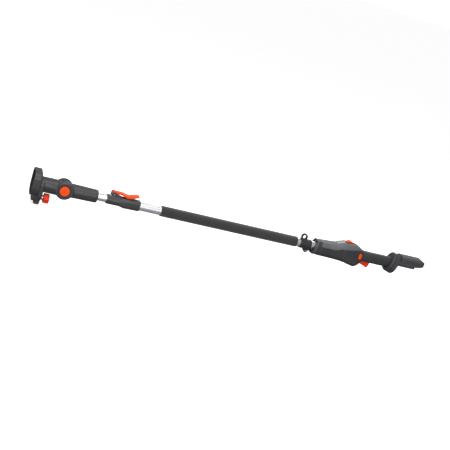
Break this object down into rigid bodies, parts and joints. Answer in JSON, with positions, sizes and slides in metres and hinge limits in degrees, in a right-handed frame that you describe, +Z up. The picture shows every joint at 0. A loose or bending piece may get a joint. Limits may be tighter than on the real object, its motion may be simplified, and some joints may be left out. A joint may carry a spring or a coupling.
{
  "type": "telescopic tool pole",
  "caption": "Telescopic tool pole with a tilting coupling cup, flip lock, foam grip, harness ring, trigger handle and battery dock; no cutter head or battery.",
  "frame": {"origin": "under the middle of the pole, at the height of its lowest point, which is the lug under the tool cup", "axes": "+X along the pole towards the battery dock, the tool cup at -X; +Z up with the trigger below; +Y to the user's right side seen from the handle looking at the tool"},
  "size_m": [1.4304, 0.084, 0.115],
  "materials": {
    "tube_aluminium": "satin",
    "foam": "matte",
    "dark_plastic": "matte",
    "black_plastic": "matte",
    "cover_plastic": "matte",
    "lens_plastic": "gloss",
    "orange_plastic": "gloss",
    "red_plastic": "satin",
    "steel": "satin",
    "brass": "satin",
    "board": "satin",
    "seal_rubber": "matte",
    "cable_jacket": "matte",
    "nylon": "matte",
    "lead_jacket": "matte"
  },
  "bodies": {
    "pole": {"outer_tube": "tube_aluminium", "foam_grip": "foam", "guide_sleeve": "nylon", "lock_body": "dark_plastic", "lock_pad": "nylon", "lever_pin": "steel", "coiled_cable": "cable_jacket", "cable_grommet": "seal_rubber", "mouth_collar": "dark_plastic", "upper_cover": "cover_plastic", "lower_shell": "dark_plastic", "side_panel_left": "dark_plastic", "side_panel_right": "dark_plastic", "control_panel": "black_plastic", "display_lens": "lens_plastic", "circuit_board": "board", "tube_saddle": "black_plastic", "housing_screws": "steel", "lock_off_springs": "steel", "handle_left_shell": "dark_plastic", "handle_right_shell": "dark_plastic", "handle_screws": "steel", "trigger_pin": "steel", "trigger_spring": "steel", "trigger_switch": "black_plastic", "power_leads": "lead_jacket", "dock_collar": "dark_plastic", "dock_hood": "cover_plastic", "dock_base": "black_plastic", "dock_screws": "steel", "terminal_block": "black_plastic", "terminal_blades": "brass"},
    "front_tube": {"inner_tube": "tube_aluminium", "tube_end_bush": "nylon", "knuckle_socket": "dark_plastic", "socket_rivets": "black_plastic", "cable_gland": "seal_rubber", "tooth_ring": "steel"},
    "head": {"head_left_shell": "dark_plastic", "head_right_shell": "dark_plastic", "head_screws": "steel", "bezel_ring": "black_plastic", "pivot_cap": "black_plastic", "pivot_axle": "steel", "tool_cup": "dark_plastic", "cup_seal": "seal_rubber", "contact_block": "black_plastic", "contact_pins": "brass", "button_spring": "steel"},
    "tilt_button": {"tilt_button": "orange_plastic", "lock_gear": "steel"},
    "clamp_knob": {"clamp_knob": "red_plastic", "clamp_screw": "steel"},
    "clamp_shoe": {"clamp_shoe": "steel"},
    "lock_lever": {"lock_lever": "orange_plastic"},
    "harness_collar": {"harness_collar": "black_plastic", "harness_fasteners": "steel"},
    "power_slider": {"power_slider": "orange_plastic"},
    "lock_off_button": {"lock_off_button": "orange_plastic"},
    "trigger": {"trigger": "red_plastic"}
  },
  "joints": [
    {"name": "pole_slide", "type": "slide", "parent": "pole", "child": "front_tube", "axis": [-1, 0, 0], "range_m": [0, 0.5], "deforming": ["coiled_cable"]},
    {"name": "head_tilt", "type": "hinge", "parent": "front_tube", "child": "head", "pos_m": [-0.6125, 0, 0.067], "axis": [0, 1, 0], "range_deg": [-60, 60]},
    {"name": "tilt_button_press", "type": "slide", "parent": "head", "child": "tilt_button", "axis": [0, 1, 0], "range_m": [0, 0.005], "stiffness_N_per_m": 900, "springref_m": -0.002, "deforming": ["button_spring"]},
    {"name": "clamp_knob_turn", "type": "hinge", "parent": "head", "child": "clamp_knob", "pos_m": [-0.662, 0, 0.023], "axis": [1, 0, 0], "range_deg": [0, 1080]},
    {"name": "clamp_shoe_slide", "type": "slide", "parent": "head", "child": "clamp_shoe", "axis": [1, 0, 0], "range_m": [0, 0.00375]},
    {"name": "lock_lever_swing", "type": "hinge", "parent": "pole", "child": "lock_lever", "pos_m": [-0.4535, 0, 0.0899], "axis": [0, -1, 0], "range_deg": [0, 105]},
    {"name": "harness_collar_slide", "type": "slide", "parent": "pole", "child": "harness_collar", "axis": [1, 0, 0], "range_m": [-0.011, 0]},
    {"name": "power_slider_slide", "type": "slide", "parent": "pole", "child": "power_slider", "axis": [1, 0, 0], "range_m": [0, 0.006]},
    {"name": "lock_off_press", "type": "slide", "parent": "pole", "child": "lock_off_button", "axis": [0, 1, 0], "range_m": [-0.004, 0.004], "stiffness_N_per_m": 600, "deforming": ["lock_off_springs"]},
    {"name": "trigger_squeeze", "type": "hinge", "parent": "pole", "child": "trigger", "pos_m": [0.4755, 0, 0.057], "axis": [0, -1, 0], "range_deg": [0, 12], "stiffness_Nm_per_rad": 0.35, "springref_deg": -6.88, "deforming": ["trigger_spring"]}
  ],
  "couplings": [
    {"joint": "clamp_knob_turn", "follows": "clamp_shoe_slide", "rad_per_m": 5026.5}
  ]
}
